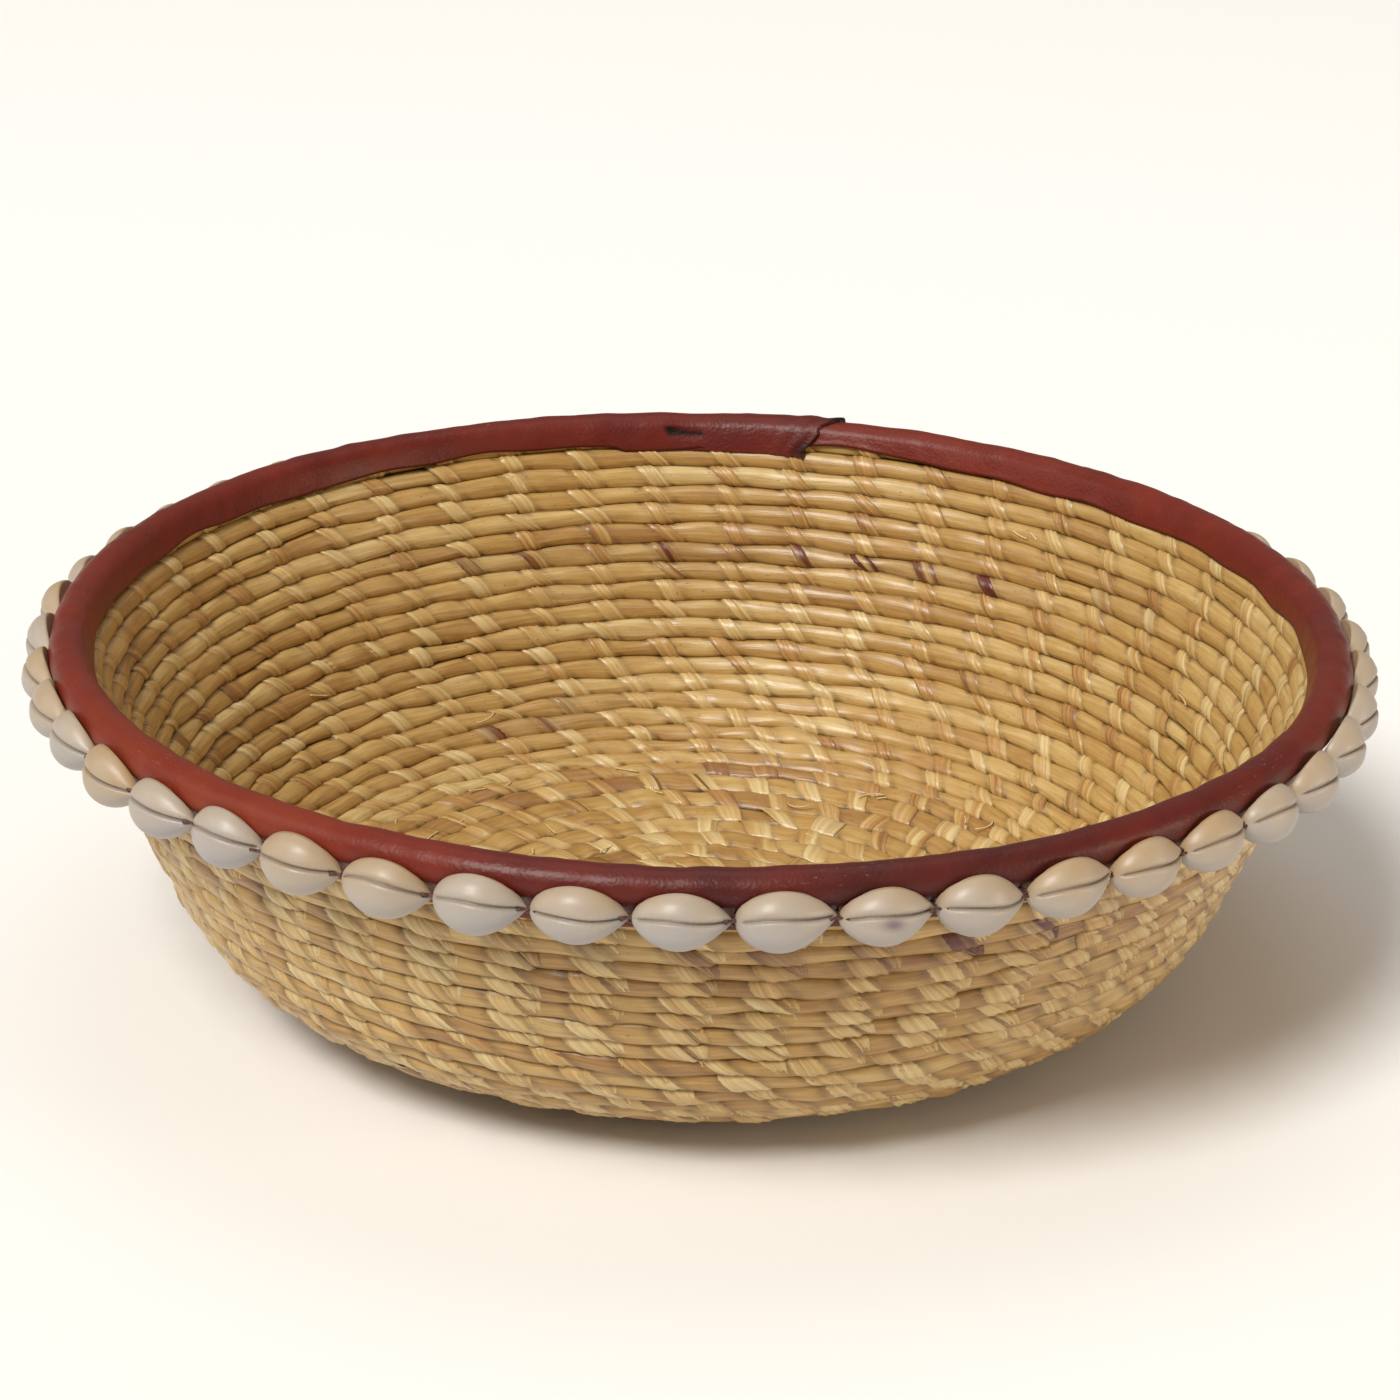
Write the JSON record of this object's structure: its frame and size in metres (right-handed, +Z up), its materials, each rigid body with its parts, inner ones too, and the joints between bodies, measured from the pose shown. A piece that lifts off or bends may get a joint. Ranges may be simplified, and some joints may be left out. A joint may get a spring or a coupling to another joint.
{
  "type": "coiled straw bowl",
  "caption": "Round shallow bowl of coiled straw sewn with flat splints, its rim bound in red leather and edged with a ring of cowrie shells.",
  "frame": {"origin": "on the bowl's axis, on the plane it stands on", "axes": "+Z up along the bowl's axis; +X and +Y level, the lapped end of the leather lies toward +Y"},
  "size_m": [0.328, 0.3284, 0.0915],
  "materials": {
    "straw_coil": "satin straw",
    "leaf_splint": "satin leaf strip",
    "red_leather": "worn, semi-matte",
    "cowrie_shell": "smooth, softly glossy",
    "waxed_thread": "waxed"
  },
  "bodies": {
    "root": {"centre_knot": "straw_coil", "floor_coil": "straw_coil", "shoulder_coil": "straw_coil", "wall_coil": "straw_coil", "rim_coil": "straw_coil", "inner_splints": "leaf_splint", "outer_splints": "leaf_splint", "leather_binding": "red_leather", "leather_lap": "red_leather", "shell_thread": "waxed_thread", "cowrie_01": "cowrie_shell", "cowrie_02": "cowrie_shell", "cowrie_03": "cowrie_shell", "cowrie_04": "cowrie_shell", "cowrie_05": "cowrie_shell", "cowrie_06": "cowrie_shell", "cowrie_07": "cowrie_shell", "cowrie_08": "cowrie_shell", "cowrie_09": "cowrie_shell", "cowrie_10": "cowrie_shell", "cowrie_11": "cowrie_shell", "cowrie_12": "cowrie_shell", "cowrie_13": "cowrie_shell", "cowrie_14": "cowrie_shell", "cowrie_15": "cowrie_shell", "cowrie_16": "cowrie_shell", "cowrie_17": "cowrie_shell", "cowrie_18": "cowrie_shell", "cowrie_19": "cowrie_shell", "cowrie_20": "cowrie_shell", "cowrie_21": "cowrie_shell", "cowrie_22": "cowrie_shell", "cowrie_23": "cowrie_shell", "cowrie_24": "cowrie_shell", "cowrie_25": "cowrie_shell", "cowrie_26": "cowrie_shell", "cowrie_27": "cowrie_shell", "cowrie_28": "cowrie_shell", "cowrie_29": "cowrie_shell", "cowrie_30": "cowrie_shell", "cowrie_31": "cowrie_shell", "cowrie_32": "cowrie_shell", "cowrie_33": "cowrie_shell", "cowrie_34": "cowrie_shell", "cowrie_35": "cowrie_shell", "cowrie_36": "cowrie_shell", "cowrie_37": "cowrie_shell", "cowrie_38": "cowrie_shell", "cowrie_39": "cowrie_shell", "cowrie_40": "cowrie_shell", "cowrie_41": "cowrie_shell", "cowrie_42": "cowrie_shell", "cowrie_43": "cowrie_shell", "cowrie_44": "cowrie_shell", "cowrie_45": "cowrie_shell", "cowrie_46": "cowrie_shell"}
  },
  "joints": []
}
